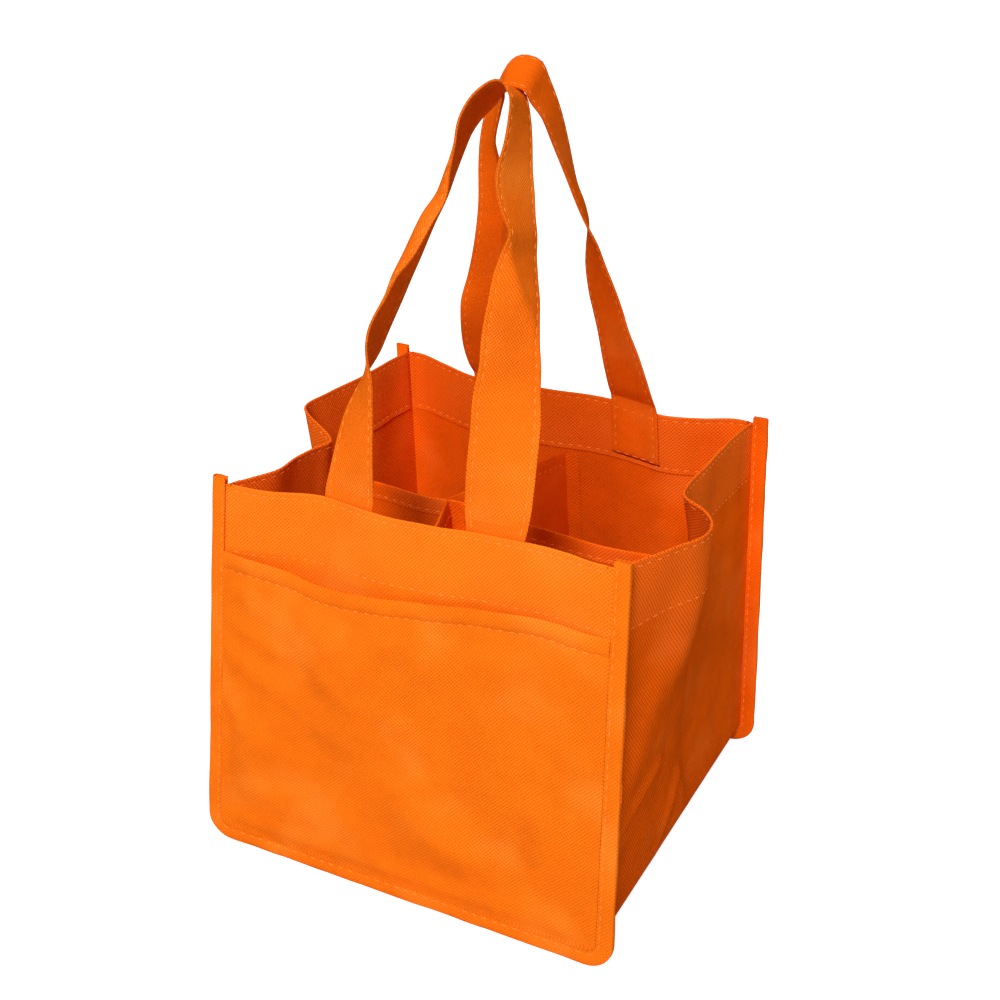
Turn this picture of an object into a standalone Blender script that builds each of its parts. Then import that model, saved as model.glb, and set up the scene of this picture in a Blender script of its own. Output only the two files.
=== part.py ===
"""A carrier bag for four cups, sewn from non-woven cloth, with two strap handles.

Metres, +Z up. The front faces -Y, and the bag stands on the bound seams of its front and
back. Each piece of cloth is an open sheet, mapped from a flat grid and then thickened.
"""
import math

import bmesh
import bpy
from mathutils import Vector

# Body, measured at the base, where the board keeps it square
BODY_WIDTH = 0.219
BODY_DEPTH = 0.222
BODY_HEIGHT = 0.210
SEAM_FLANGE = 0.0085
CORNER_RADIUS = 0.006

# Cloth
CLOTH = 0.0006
GAP = 0.0003
HEM_DEPTH = 0.035
HEM_INSET = 0.003
SEAM_ALLOWANCE = 0.0074
TAPE_LAP = 0.0024
TAPE_OVERRUN = 0.004
TAB_WIDTH = 0.008
TAB_START = 0.001

# Inside
BOARD = 0.0015
BOARD_CLEARANCE = 0.004
DIVIDER_HEIGHT = 0.172

# Front pocket, height of its mouth at the two sides
POCKET_HEIGHT = 0.174
POCKET_GAPE = 0.008

# Handles
STRAP_WIDTH = 0.031
STRAP = 0.0012
LEG_SPACING = 0.084
LEG_SHIFT = 0.003
HINGE_RISE = 0.012
HANDLE_RISE = 0.167
FRONT_HINGE_Y = -0.1045
BACK_HINGE_Y = 0.0835

# Fineness of the grids
COLUMN_STEP = 0.0115
NORMAL_PROBE = 0.001

LAYER = CLOTH + GAP
LOOSE_LAYER = CLOTH + 2 * GAP
STRAP_DEPTH = LAYER + CLOTH / 2 + GAP + STRAP / 2
HINGE_Z = BODY_HEIGHT + HINGE_RISE
BOARD_BOTTOM = SEAM_FLANGE + CLOTH / 2 + GAP
FLOOR_TOP = BOARD_BOTTOM + BOARD

# How far each top corner has moved, as shares of width, depth and height
CORNER_SHIFT_SHARES = {
    (-1, -1): (0.084, 0.000, -0.005),
    (1, -1): (-0.007, 0.009, 0.000),
    (1, 1): (-0.028, -0.050, -0.012),
    (-1, 1): (-0.029, -0.030, 0.017),
}
# How far the top edges bow, along each wall: inward on the panels, as shares of the depth
FRONT_BOW_SHARES = (
    (0, 0), (0.05, 0.001), (0.12, 0.013), (0.25, 0.033), (0.4, 0.004), (0.55, 0.004),
    (0.65, 0.020), (0.8, 0.027), (0.88, 0.021), (0.95, 0.001), (1, 0),
)
BACK_BOW_SHARES = (
    (0, 0), (0.05, 0.002), (0.13, 0.040), (0.24, 0.085), (0.35, 0.077), (0.45, 0.068),
    (0.62, 0.040), (0.72, 0.064), (0.79, 0.085), (0.88, 0.050), (0.95, 0.002), (1, 0),
)
# Outward on the sides, as shares of the width, from -1 in front over the crease at 0 to 1
RIGHT_BOW_SHARES = (
    (-1, 0), (-0.93, 0.022), (-0.72, 0.062), (-0.6, 0.084), (-0.466, 0.112), (-0.327, 0.110),
    (-0.118, 0.064), (0, 0.005), (0.12, -0.009), (0.44, -0.014), (0.84, -0.009), (1, 0),
)
LEFT_BOW_SHARES = (
    (-1, 0), (-0.874, -0.037), (-0.75, -0.068), (-0.58, -0.075), (-0.435, -0.087),
    (-0.31, -0.098), (0, 0.064), (0.234, 0.055), (0.52, 0.032), (0.81, 0.018), (1, 0),
)
BOW_POWER = 1.5
# The crease of each side leans forward near its top
CREASE_LEAN_SHARES = {-1: 0.022, 1: 0.069}
CREASE_POWER = 9
# Waves along the top of the cross divider, as shares of the depth
DIVIDER_WAVE_SHARES = (
    (0, 0), (0.17, 0.014), (0.31, -0.006), (0.42, 0.017), (0.62, -0.026),
    (0.8, -0.053), (0.93, -0.033), (1, 0),
)
# Where the webs meet the divider and the panels at the top, as shares of the width
WEB_DIVIDER_SHARE = -0.155
WEB_PANEL_SHARES = {-1: -0.020, 1: -0.004}
# Mouth of the pocket: height lost and gape, along it, as shares of height and gape
MOUTH_DROP_SHARES = (
    (0, 0), (0.12, 0.004), (0.26, 0.024), (0.4, 0.020), (0.6, 0.000), (0.8, -0.018), (1, -0.012),
)
MOUTH_GAPE_SHARES = (
    (0, 0), (0.12, 0.45), (0.26, 1.0), (0.45, 0.4), (0.6, 0.4), (0.72, 0.6), (0.88, 0.35), (1, 0),
)
# Rows of the walls below the hem, as shares of the height between corner and hem
WALL_ROW_SHARES = (0, 0.1, 0.28, 0.5, 0.72, 0.88)
HEM_ROW_SHARES = (1, 0.66, 0.33, 0)
DIVIDER_ROW_SHARES = (0, 0.04, 0.2, 0.4, 0.6, 0.8, 1)
POCKET_ROW_SHARES = (0.15, 0.35, 0.55, 0.75, 0.9, 1)
# Rows of a handle's sewn end above the hem: it reaches the loop's line at the second
END_ROW_SHARES = (0.35, 0.7, 1)
# Routes of the loops: x and y as shares of width and depth, rise as a share of the handle's
# rise, and the turn of the strap's width, from +X towards -Y, in half turns
FRONT_LOOP_SHARES = (
    (-0.123, -0.471, 0, 0), (-0.123, -0.471, 0.045, 0), (-0.124, -0.440, 0.09, 0.13),
    (-0.128, -0.414, 0.16, 0.18),
    (-0.130, -0.378, 0.27, 0.28), (-0.116, -0.329, 0.395, 0.38), (-0.096, -0.288, 0.51, 0.38),
    (-0.078, -0.234, 0.645, 0.27), (-0.046, -0.185, 0.755, 0.305), (-0.030, -0.140, 0.88, 0.39),
    (-0.014, -0.104, 0.96, 0.39), (0.037, -0.063, 1.0, 0.395), (0.064, -0.068, 0.945, 0.455),
    (0.078, -0.099, 0.845, 0.505), (0.100, -0.149, 0.73, 0.545), (0.137, -0.203, 0.605, 0.56),
    (0.164, -0.275, 0.515, 0.635), (0.178, -0.315, 0.415, 0.97), (0.192, -0.365, 0.25, 0.93),
    (0.221, -0.443, 0.09, 0.925), (0.226, -0.471, 0.045, 1), (0.226, -0.471, 0, 1),
)
BACK_LOOP_SHARES = (
    (-0.206, 0.376, 0, 0), (-0.206, 0.376, 0.045, 0), (-0.202, 0.342, 0.1, -0.09),
    (-0.187, 0.293, 0.237, -0.105),
    (-0.132, 0.221, 0.432, -0.045), (-0.119, 0.162, 0.615, 0.205), (-0.114, 0.140, 0.74, 0.255),
    (-0.100, 0.117, 0.822, 0.27), (-0.091, 0.108, 0.893, 0.28), (-0.059, 0.086, 0.97, 0.34),
    (-0.027, 0.068, 1.03, 0.41), (0.023, 0.072, 1.018, 0.46), (0.050, 0.086, 0.929, 0.467),
    (0.073, 0.108, 0.834, 0.455), (0.096, 0.167, 0.675, 0.405), (0.110, 0.203, 0.568, 0.367),
    (0.119, 0.221, 0.473, 0.295), (0.132, 0.257, 0.367, 0.24), (0.155, 0.297, 0.23, 0.19),
    (0.174, 0.338, 0.107, 0.13), (0.178, 0.376, 0.045, 0), (0.178, 0.376, 0, 0),
)

# Counts
CORNER_STEPS = 3
FOLD_STEPS = 3
SIDE_COLUMNS = 10
BASE_STEPS = 4
TAPE_STEPS = 5
DIVIDER_COLUMNS = 20
WEB_COLUMNS = 7
LOOP_STEPS = 3

ORANGE = (0.90, 0.17, 0.012, 1.0)
DEEP_ORANGE = (0.80, 0.12, 0.008, 1.0)
BOARD_WHITE = (0.75, 0.73, 0.70, 1.0)
CLOTH_ROUGHNESS = 0.75
BOARD_ROUGHNESS = 0.5


def clear_scene():
    for old in list(bpy.data.objects):
        bpy.data.objects.remove(old, do_unlink=True)


def make_material(name, color, roughness):
    material = bpy.data.materials.new(name)
    material.use_nodes = True
    shader = material.node_tree.nodes["Principled BSDF"]
    shader.inputs["Base Color"].default_value = color
    shader.inputs["Roughness"].default_value = roughness
    shader.inputs["Metallic"].default_value = 0.0
    return material


def smooth(table, at):
    """A smooth curve through the (place, value) rows of a table."""
    at = min(max(at, table[0][0]), table[-1][0])
    last = len(table) - 1
    index = 0
    while index < last - 1 and at > table[index + 1][0]:
        index += 1
    before = table[max(index - 1, 0)]
    start, end = table[index], table[index + 1]
    after = table[min(index + 2, last)]
    span = end[0] - start[0]
    slope_in = (end[1] - before[1]) / (end[0] - before[0]) * span
    slope_out = (after[1] - start[1]) / (after[0] - start[0]) * span
    f = (at - start[0]) / span
    return (
        (2 * f ** 3 - 3 * f ** 2 + 1) * start[1]
        + (f ** 3 - 2 * f ** 2 + f) * slope_in
        + (3 * f ** 2 - 2 * f ** 3) * end[1]
        + (f ** 3 - f ** 2) * slope_out
    )


def ease(f):
    f = min(max(f, 0), 1)
    return f * f * (3 - 2 * f)


def level(z):
    """0 at the base and 1 at the top edge."""
    return max((z - SEAM_FLANGE) / (BODY_HEIGHT - SEAM_FLANGE), 0)


def settle(x, y, z):
    """Move a point of the square bag to where the soft bag has it."""
    t = level(z)
    point = Vector((x, y, z))
    for (sign_x, sign_y), (share_x, share_y, share_z) in CORNER_SHIFT_SHARES.items():
        weight = (0.5 + sign_x * x / BODY_WIDTH) * (0.5 + sign_y * y / BODY_DEPTH) * t
        point.x += weight * share_x * BODY_WIDTH
        point.y += weight * share_y * BODY_DEPTH
        point.z += weight * share_z * BODY_HEIGHT
    return point


def panel(side, x, z):
    """The front (-1) or back (1) panel, at x and z of the square bag."""
    table = FRONT_BOW_SHARES if side < 0 else BACK_BOW_SHARES
    bow = smooth(table, x / BODY_WIDTH + 0.5) * BODY_DEPTH * level(z) ** BOW_POWER
    return settle(x, side * (BODY_DEPTH / 2 - bow), z)


def crease_y(side, z):
    return -CREASE_LEAN_SHARES[side] * BODY_DEPTH * min(level(z), 1) ** CREASE_POWER


def strip(side, x, y, z):
    """The gusset strip, from a point of the square bag on its left (-1) or right (1) half."""
    crease = crease_y(side, z)
    reach = BODY_DEPTH / 2 + (crease if y < crease else -crease)
    table = LEFT_BOW_SHARES if side < 0 else RIGHT_BOW_SHARES
    bow = smooth(table, (y - crease) / reach) * BODY_WIDTH * level(z) ** BOW_POWER
    return settle(x + side * bow, y, z)


def side_wall(side, y, z):
    """A side of the bag, at y and z of the square bag, down round its bottom corner."""
    drop = max(SEAM_FLANGE + CORNER_RADIUS - z, 0)
    inset = CORNER_RADIUS - math.sqrt(max(CORNER_RADIUS ** 2 - drop ** 2, 0))
    return strip(side, side * (BODY_WIDTH / 2 - inset), y, z)


def inside(surface, side, a, b, depth):
    """A point a depth inside a wall, square to it."""
    along = surface(side, a + NORMAL_PROBE, b) - surface(side, a - NORMAL_PROBE, b)
    up = surface(side, a, b + NORMAL_PROBE) - surface(side, a, b - NORMAL_PROBE)
    normal = along.cross(up).normalized()
    point = surface(side, a, b)
    if normal.x * point.x + normal.y * point.y > 0:
        normal.negate()
    return point + normal * depth


def sheet(name, rows, columns, place, thickness, material, origin=Vector()):
    """A grid of rows and columns of points, put in place and thickened both ways."""
    shape = bmesh.new()
    bmesh.ops.create_grid(shape, x_segments=columns - 1, y_segments=rows - 1, size=1)
    for vertex in shape.verts:
        column = round((vertex.co.x + 1) / 2 * (columns - 1))
        row = round((vertex.co.y + 1) / 2 * (rows - 1))
        vertex.co = place(row, column) - origin
    mesh = bpy.data.meshes.new(name)
    shape.to_mesh(mesh)
    shape.free()
    mesh.shade_smooth()
    piece = bpy.data.objects.new(name, mesh)
    piece.location = origin
    bag.objects.link(piece)
    mesh.materials.append(material)
    solidify = piece.modifiers.new("Thickness", "SOLIDIFY")
    solidify.thickness = thickness
    solidify.offset = 0
    solidify.use_even_offset = True
    solidify.use_quality_normals = True
    return piece


def split(start, end):
    """Places from start to end, no further apart than the column step; the end is left out."""
    count = max(math.ceil((end - start) / COLUMN_STEP), 1)
    return [start + (end - start) * i / count for i in range(count)]


def leg_edges():
    """The edges of the two legs of a handle, on the square bag."""
    centres = (LEG_SHIFT - LEG_SPACING / 2, LEG_SHIFT + LEG_SPACING / 2)
    return [(c - STRAP_WIDTH / 2, c + STRAP_WIDTH / 2) for c in centres]


def panel_columns():
    """x of the panel's columns between its side seams, with the legs' edges among them."""
    (left_a, left_b), (right_a, right_b) = leg_edges()
    stops = [-BODY_WIDTH / 2, left_a, left_b, right_a, right_b, BODY_WIDTH / 2]
    places = [x for a, b in zip(stops, stops[1:]) for x in split(a, b)]
    return places + [BODY_WIDTH / 2]


def wall_levels():
    """Heights of the rows of a wall, from its bottom corner to its top edge."""
    low = SEAM_FLANGE + CORNER_RADIUS
    hem = BODY_HEIGHT - HEM_DEPTH
    return (
        [low + (hem - low) * share for share in WALL_ROW_SHARES]
        + [BODY_HEIGHT - HEM_DEPTH * share for share in HEM_ROW_SHARES]
    )


def hem_rows():
    """The fold over the top edge and the hem inside it, as (height, depth) pairs."""
    radius = LAYER / 2
    rows = []
    for step in range(1, FOLD_STEPS):
        angle = math.pi * step / FOLD_STEPS
        rows.append((BODY_HEIGHT + radius * math.sin(angle), radius * (1 - math.cos(angle))))
    rows += [(BODY_HEIGHT - HEM_DEPTH * share, LAYER) for share in reversed(HEM_ROW_SHARES)]
    return rows


def seam_path(levels):
    """Down the left side, round under the base and up the right: x, z and outward x, z."""
    low = SEAM_FLANGE + CORNER_RADIUS
    path = [(-BODY_WIDTH / 2, z, -1, 0) for z in reversed(levels)]
    centre = BODY_WIDTH / 2 - CORNER_RADIUS
    for step in range(1, CORNER_STEPS + 1):
        angle = math.pi / 2 * step / CORNER_STEPS
        out_x, out_z = -math.cos(angle), -math.sin(angle)
        path.append((CORNER_RADIUS * out_x - centre, low + CORNER_RADIUS * out_z, out_x, out_z))
    for step in range(1, BASE_STEPS // 2):
        path.append((centre * (2 * step / BASE_STEPS - 1), SEAM_FLANGE, 0, -1))
    middle = [(0, SEAM_FLANGE, 0, -1)]
    return path + middle + [(-x, z, -out_x, out_z) for x, z, out_x, out_z in reversed(path)]


def make_panel(side, name):
    """A panel with its edges in the seam and its hem folded inside."""
    inner = panel_columns()
    edge = BODY_WIDTH / 2 + SEAM_ALLOWANCE
    hem_edge = BODY_WIDTH / 2 - HEM_INSET
    columns = [-edge] + inner + [edge]
    radius = CORNER_RADIUS + SEAM_ALLOWANCE
    rows = []
    for step in range(CORNER_STEPS + 1):
        angle = math.pi / 2 * step / CORNER_STEPS
        height = SEAM_FLANGE - SEAM_ALLOWANCE + radius * (1 - math.cos(angle))
        rows.append((height, 0, radius * (1 - math.sin(angle))))
    rows += [(z, 0, 0) for z in wall_levels()[1:-1] + [BODY_HEIGHT - LAYER, BODY_HEIGHT]]
    rows += [(z, depth, 0) for z, depth in hem_rows()]

    def place(row, column):
        z, depth, inset = rows[row]
        x = columns[column] * (edge - inset) / edge
        if (depth or z == BODY_HEIGHT) and abs(x) > hem_edge - HEM_INSET:
            x = math.copysign(hem_edge if abs(x) == edge else hem_edge - HEM_INSET, x)
        return inside(panel, side, x, z, depth)

    return sheet(name, len(rows), len(columns), place, CLOTH, orange)


def make_gusset():
    """One strip: left side, base and right side, its edges turned out into the seams."""
    wall_y = BODY_DEPTH / 2 - LAYER
    levels = wall_levels()[:-1] + [BODY_HEIGHT - n * LAYER for n in (2, 1, 0)]
    path = seam_path(levels)
    folds = [(-BODY_WIDTH / 2, z, -1, 0, depth) for z, depth in reversed(hem_rows())]
    rows = folds + [(x, z, out_x, out_z, 0) for x, z, out_x, out_z in path]
    rows += [(-x, z, -out_x, out_z, depth) for x, z, out_x, out_z, depth in reversed(folds)]
    shares = [i / SIDE_COLUMNS for i in range(-SIDE_COLUMNS, SIDE_COLUMNS + 1)]
    columns = [-math.inf] + shares + [math.inf]

    def place(row, column):
        x, z, out_x, out_z, depth = rows[row]
        share = columns[column]
        side = -1 if row < len(rows) / 2 else 1
        crease = crease_y(side, z)
        y = crease + share * (wall_y + (crease if share < 0 else -crease))
        if depth or z == BODY_HEIGHT:
            if abs(share) == 1:
                y = math.copysign(wall_y - 2 * HEM_INSET, share)
            if abs(share) > 1:
                y = math.copysign(wall_y - HEM_INSET, share)
            return inside(side_wall, side, y, z, depth)
        if abs(share) > 1:
            reach = LAYER if z > levels[-3] else SEAM_ALLOWANCE
            edge_x, edge_z = x + out_x * reach, z + out_z * reach
            return settle(edge_x, math.copysign(wall_y, share), edge_z)
        return strip(side, x, y, z)

    return sheet("gusset_strip", len(rows), len(columns), place, CLOTH, orange)


def make_binding(side, name):
    """The tape folded round a seam, square at its outer edge."""
    low = SEAM_FLANGE + CORNER_RADIUS
    top = BODY_HEIGHT + TAPE_OVERRUN
    levels = [low + (top - low) * step / TAPE_STEPS for step in range(TAPE_STEPS + 1)]
    path = seam_path(levels)
    outer = SEAM_FLANGE - CLOTH / 2
    section = ((GAP, -1), (outer, -1), (outer, 2), (TAPE_LAP, 2))

    def place(row, column):
        x, z, out_x, out_z = path[row]
        out, layers = section[column]
        y = side * (BODY_DEPTH / 2 - layers * LAYER)
        return settle(x + out_x * out, y, z + out_z * out)

    return sheet(name, len(path), len(section), place, CLOTH, tape_orange)


def pocket_point(x, z):
    """The pocket, outside the front panel and away from it near its mouth."""
    share = x / BODY_WIDTH + 0.5
    gape = smooth(MOUTH_GAPE_SHARES, share) * POCKET_GAPE * (z / POCKET_HEIGHT) ** 2
    return inside(panel, -1, x, z, -LAYER - gape)


def make_pocket():
    columns = panel_columns()
    low = SEAM_FLANGE + CORNER_RADIUS
    corner = []
    for step in range(CORNER_STEPS + 1):
        angle = math.pi / 2 * step / CORNER_STEPS
        corner.append((CORNER_RADIUS * (1 - math.cos(angle)), CORNER_RADIUS * (1 - math.sin(angle))))

    def place(row, column):
        x = columns[column]
        if row < len(corner):
            rise, inset = corner[row]
            narrowed = x * (BODY_WIDTH / 2 - inset) / (BODY_WIDTH / 2)
            return pocket_point(narrowed, SEAM_FLANGE + rise)
        drop = smooth(MOUTH_DROP_SHARES, x / BODY_WIDTH + 0.5) * BODY_HEIGHT
        share = POCKET_ROW_SHARES[row - len(corner)]
        return pocket_point(x, low + share * (POCKET_HEIGHT - drop - low))

    rows = len(corner) + len(POCKET_ROW_SHARES)
    hinge = Vector((0, -BODY_DEPTH / 2 - LAYER, SEAM_FLANGE))
    return sheet("front_pocket", rows, len(columns), place, CLOTH, orange, hinge)


def divider_end(side, z, along=0):
    """Where the cross divider meets a side of the bag, or a point along its tab there."""
    return inside(side_wall, side, crease_y(side, z) + TAB_START + along, z, LOOSE_LAYER)


def divider_point(share, z):
    left, right = divider_end(-1, z), divider_end(1, z)
    point = left.lerp(right, share)
    point.y += smooth(DIVIDER_WAVE_SHARES, share) * BODY_DEPTH * level(z)
    return point


def make_divider():
    """The wall from side to side, with a tab turned back along each side."""
    bottom = FLOOR_TOP + GAP
    columns = [None] + [i / DIVIDER_COLUMNS for i in range(DIVIDER_COLUMNS + 1)] + [None]

    def place(row, column):
        z = bottom + (DIVIDER_HEIGHT - bottom) * DIVIDER_ROW_SHARES[row]
        if columns[column] is None:
            return divider_end(1 if column else -1, z, TAB_WIDTH)
        return divider_point(columns[column], z)

    return sheet("cross_divider", len(DIVIDER_ROW_SHARES), len(columns), place, CLOTH, deep_orange)


def make_web(side, name):
    """The wall from the cross divider to a panel, with a tab on each."""
    bottom = FLOOR_TOP + GAP
    columns = [None] + [i / WEB_COLUMNS for i in range(WEB_COLUMNS + 1)] + [None]
    away = Vector((0, side * LOOSE_LAYER, 0))

    def on_panel(z, along=0):
        x = WEB_PANEL_SHARES[side] * BODY_WIDTH * level(z) + along
        return inside(panel, side, x, z, LOOSE_LAYER)

    def on_divider(z, along=0):
        share = 0.5 + WEB_DIVIDER_SHARE * level(z) + along / BODY_WIDTH
        return divider_point(share, z) + away

    def place(row, column):
        z = bottom + (DIVIDER_HEIGHT - bottom) * DIVIDER_ROW_SHARES[row]
        if columns[column] is None:
            return on_divider(z, TAB_WIDTH) if column else on_panel(z, TAB_WIDTH)
        return on_panel(z).lerp(on_divider(z), columns[column])

    return sheet(name, len(DIVIDER_ROW_SHARES), len(columns), place, CLOTH, deep_orange)


def make_board():
    """The stiff sheet that keeps the base flat."""
    half_x = BODY_WIDTH / 2 - CORNER_RADIUS - GAP
    half_y = BODY_DEPTH / 2 - BOARD_CLEARANCE
    bpy.ops.mesh.primitive_cube_add(size=1)
    board = bpy.context.active_object
    board.name = board.data.name = "base_board"
    board.location = (0, 0, BOARD_BOTTOM + BOARD / 2)
    for vertex in board.data.vertices:
        vertex.co = (vertex.co.x * 2 * half_x, vertex.co.y * 2 * half_y, vertex.co.z * BOARD)
    for collection in list(board.users_collection):
        collection.objects.unlink(board)
    bag.objects.link(board)
    board.data.materials.append(board_white)
    return board


def make_handle_end(side, leg, name):
    """The sewn end of a handle, inside the hem and up to the loop."""
    start, end = leg_edges()[leg]
    columns = split(start, end) + [end]
    hinge_y = FRONT_HINGE_Y if side < 0 else BACK_HINGE_Y
    table = FRONT_LOOP_SHARES if side < 0 else BACK_LOOP_SHARES
    hinge_x = table[-leg][0] * BODY_WIDTH
    free = BODY_HEIGHT + 2 * LAYER
    top = HINGE_Z - GAP
    levels = [BODY_HEIGHT - HEM_DEPTH * share for share in HEM_ROW_SHARES] + [free]
    levels += [free + (top - free) * share for share in END_ROW_SHARES]

    def place(row, column):
        z = levels[row]
        flat = inside(panel, side, columns[column], z, STRAP_DEPTH)
        across = (columns[column] - (start + end) / 2) / (end - start) * STRAP_WIDTH
        line = Vector((hinge_x + across, hinge_y, z))
        return flat.lerp(line, ease((z - free) / (top - free) / END_ROW_SHARES[1]))

    return sheet(name, len(levels), len(columns), place, STRAP, strap_orange)


def make_loop(side, name):
    """The free loop of a handle: it turns as it rises, and hinges on its outer face."""
    table = FRONT_LOOP_SHARES if side < 0 else BACK_LOOP_SHARES
    hinge_y = FRONT_HINGE_Y if side < 0 else BACK_HINGE_Y
    scales = (BODY_WIDTH, BODY_DEPTH, HANDLE_RISE)
    tracks = [[(i, row[k]) for i, row in enumerate(table)] for k in range(4)]
    count = (len(table) - 1) * LOOP_STEPS
    steps = [0] + list(range(LOOP_STEPS, count - LOOP_STEPS + 1)) + [count]

    def centre(step):
        x, y, z = [smooth(tracks[k], step / LOOP_STEPS) * scales[k] for k in range(3)]
        at_end = min(step, count - step) <= LOOP_STEPS
        return Vector((x, hinge_y if at_end else y, HINGE_Z + z))

    def place(row, column):
        step = steps[row]
        tangent = Vector((0, 0, 1))
        if step not in (0, count):
            tangent = (centre(step + 1) - centre(step - 1)).normalized()
        angle = smooth(tracks[3], step / LOOP_STEPS) * math.pi
        width = Vector((math.cos(angle), -math.sin(angle), 0))
        width = (width - tangent * width.dot(tangent)).normalized()
        return centre(step) + width * (column / 2 - 0.5) * STRAP_WIDTH

    hinge = Vector((0, hinge_y + side * STRAP / 2, HINGE_Z - GAP / 2))
    return sheet(name, len(steps), 3, place, STRAP, strap_orange, hinge)


def centre_bag():
    """Stand the bag's box centred on the origin."""
    graph = bpy.context.evaluated_depsgraph_get()
    corners = [
        piece.location + Vector(corner)
        for piece in bag.objects
        for corner in piece.evaluated_get(graph).bound_box
    ]
    for axis in (0, 1):
        middle = (min(c[axis] for c in corners) + max(c[axis] for c in corners)) / 2
        for piece in bag.objects:
            piece.location[axis] -= middle


clear_scene()
bag = bpy.data.collections.new("cup_carrier_bag")
bpy.context.scene.collection.children.link(bag)
orange = make_material("orange_cloth", ORANGE, CLOTH_ROUGHNESS)
deep_orange = make_material("divider_cloth", DEEP_ORANGE, CLOTH_ROUGHNESS)
tape_orange = make_material("binding_tape", ORANGE, CLOTH_ROUGHNESS)
strap_orange = make_material("strap_cloth", ORANGE, CLOTH_ROUGHNESS)
board_white = make_material("base_board", BOARD_WHITE, BOARD_ROUGHNESS)

make_panel(-1, "front_panel")
make_panel(1, "back_panel")
make_gusset()
make_binding(-1, "front_binding")
make_binding(1, "back_binding")
make_pocket()
make_divider()
make_web(-1, "front_web")
make_web(1, "back_web")
make_board()
for face, word in ((-1, "front"), (1, "back")):
    make_loop(face, word + "_handle_loop")
    make_handle_end(face, 0, word + "_handle_end_left")
    make_handle_end(face, 1, word + "_handle_end_right")
centre_bag()
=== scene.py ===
"""The dressed cup carrier bag: cloth, tape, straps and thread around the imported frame.

Lengths are in metres. Every surface is worked out in the coordinates of the square bag, and
SHIFT moves it into the frame when its mesh is written. The sign called side is -1 for the
front or the left and 1 for the back or the right.
"""
import itertools
import math
import random

import bpy
from mathutils import Matrix, Vector, noise


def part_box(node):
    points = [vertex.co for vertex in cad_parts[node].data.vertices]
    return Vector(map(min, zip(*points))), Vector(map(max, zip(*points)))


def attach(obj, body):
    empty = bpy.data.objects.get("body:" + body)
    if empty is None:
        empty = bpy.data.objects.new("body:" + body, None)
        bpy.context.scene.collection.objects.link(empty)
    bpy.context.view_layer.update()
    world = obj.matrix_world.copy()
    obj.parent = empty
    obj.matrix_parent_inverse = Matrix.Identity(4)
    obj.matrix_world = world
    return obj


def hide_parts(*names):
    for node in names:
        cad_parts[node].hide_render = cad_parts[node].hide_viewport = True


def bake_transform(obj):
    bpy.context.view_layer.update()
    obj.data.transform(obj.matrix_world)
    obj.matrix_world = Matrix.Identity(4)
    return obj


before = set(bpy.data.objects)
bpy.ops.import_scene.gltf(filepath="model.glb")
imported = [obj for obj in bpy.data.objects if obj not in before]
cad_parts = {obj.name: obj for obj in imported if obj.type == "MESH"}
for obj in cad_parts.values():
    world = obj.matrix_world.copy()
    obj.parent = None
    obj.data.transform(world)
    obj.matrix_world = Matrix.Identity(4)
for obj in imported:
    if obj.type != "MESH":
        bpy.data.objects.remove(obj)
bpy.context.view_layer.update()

BOARD_LOW, BOARD_HIGH = [Vector(corner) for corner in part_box("base_board")]
SHIFT = (BOARD_LOW + BOARD_HIGH) / 2
SHIFT.z = 0

# Body
BODY_WIDTH = 0.219
BODY_DEPTH = 0.222
BODY_HEIGHT = 0.210
SEAM_FLANGE = 0.0085
SEAM_ALLOWANCE = 0.0074
CORNER_RADIUS = 0.006
CORNER_TOP = SEAM_FLANGE + CORNER_RADIUS
FLOOR_TOP = 0.0106

# Cloth and hems
CLOTH = 0.0005
LAYER = 0.0009
LOOSE_LAYER = 0.0009
HEM_DEPTH = 0.035
HEM_INSET = 0.003
HEM_TILT = 0.0022
SLANT_HEIGHT = 0.003
SLANT_TOP = 0.15

# Seams
STITCH = 0.0056
STITCH_START = 0.19
STITCH_SHARE = 0.62
STITCH_JOG = 0.05
STITCH_SLANT = 0.00012
STITCH_RISE = 0.00026
STITCH_SINK = 0.00016
STITCH_MARGIN = 0.004
TOP_STITCH = 0.0022
HEM_STITCH = 0.0325
TOP_LINE = BODY_HEIGHT - TOP_STITCH
HEM_LINE = BODY_HEIGHT - HEM_STITCH
THREAD = 0.00021
THREAD_FLATNESS = 0.8
THREAD_TIP = 0.45
PINCH = 0.00017
PINCH_WIDTH = 0.0012
GATHER = (0.00028, 0.006)

# Binding tape
TAPE = 0.00045
TAPE_LAP = 0.0002
TAPE_OVERRUN = 0.004
TAPE_STITCH = 0.0018
TAPE_EDGE = SEAM_FLANGE - CLOTH / 2
TAPE_PUFF = 0.00030
TAPE_RISE = 0.003
TAPE_FALL = 0.002
TAPE_PINCH = 0.00012
TAPE_RIPPLE = (0.00035, 0.012)
TAPE_WANDER = (0.00045, 0.02)
TAPE_RIM = 0.001
WANDER_SHARE = 0.3

# Pocket
POCKET_HEIGHT = 0.174
POCKET_GAPE = 0.008
POCKET_RIDGE = 0.0014
POCKET_RIDGE_Z = SEAM_FLANGE + 0.0085
POCKET_RIDGE_WIDTH = 0.004
POCKET_LOW = 0.015
POCKET_SAG = 0.0042
POCKET_RIPPLE = (0.0009, 0.013)
SAG_SIZE = 0.034
SAG_LIFT = 0.4
SAG_STRETCH = 0.4
SAG_SLOPE = (0.82, 0.57)
POCKET_MARGIN = 0.003
BAND = 0.0085
BAND_PUFF = 0.0008
BAND_PINCH = 1.6
BAND_LAYERS = 0.8
BAND_END = 0.002
DENT = 0.0009
DENT_X, DENT_BELOW = -0.08, 0.03
DENT_LEAN = 0.8
DENT_LEVEL = 0.028
DENT_WIDTH, DENT_LENGTH = 0.008, 0.02

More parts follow.
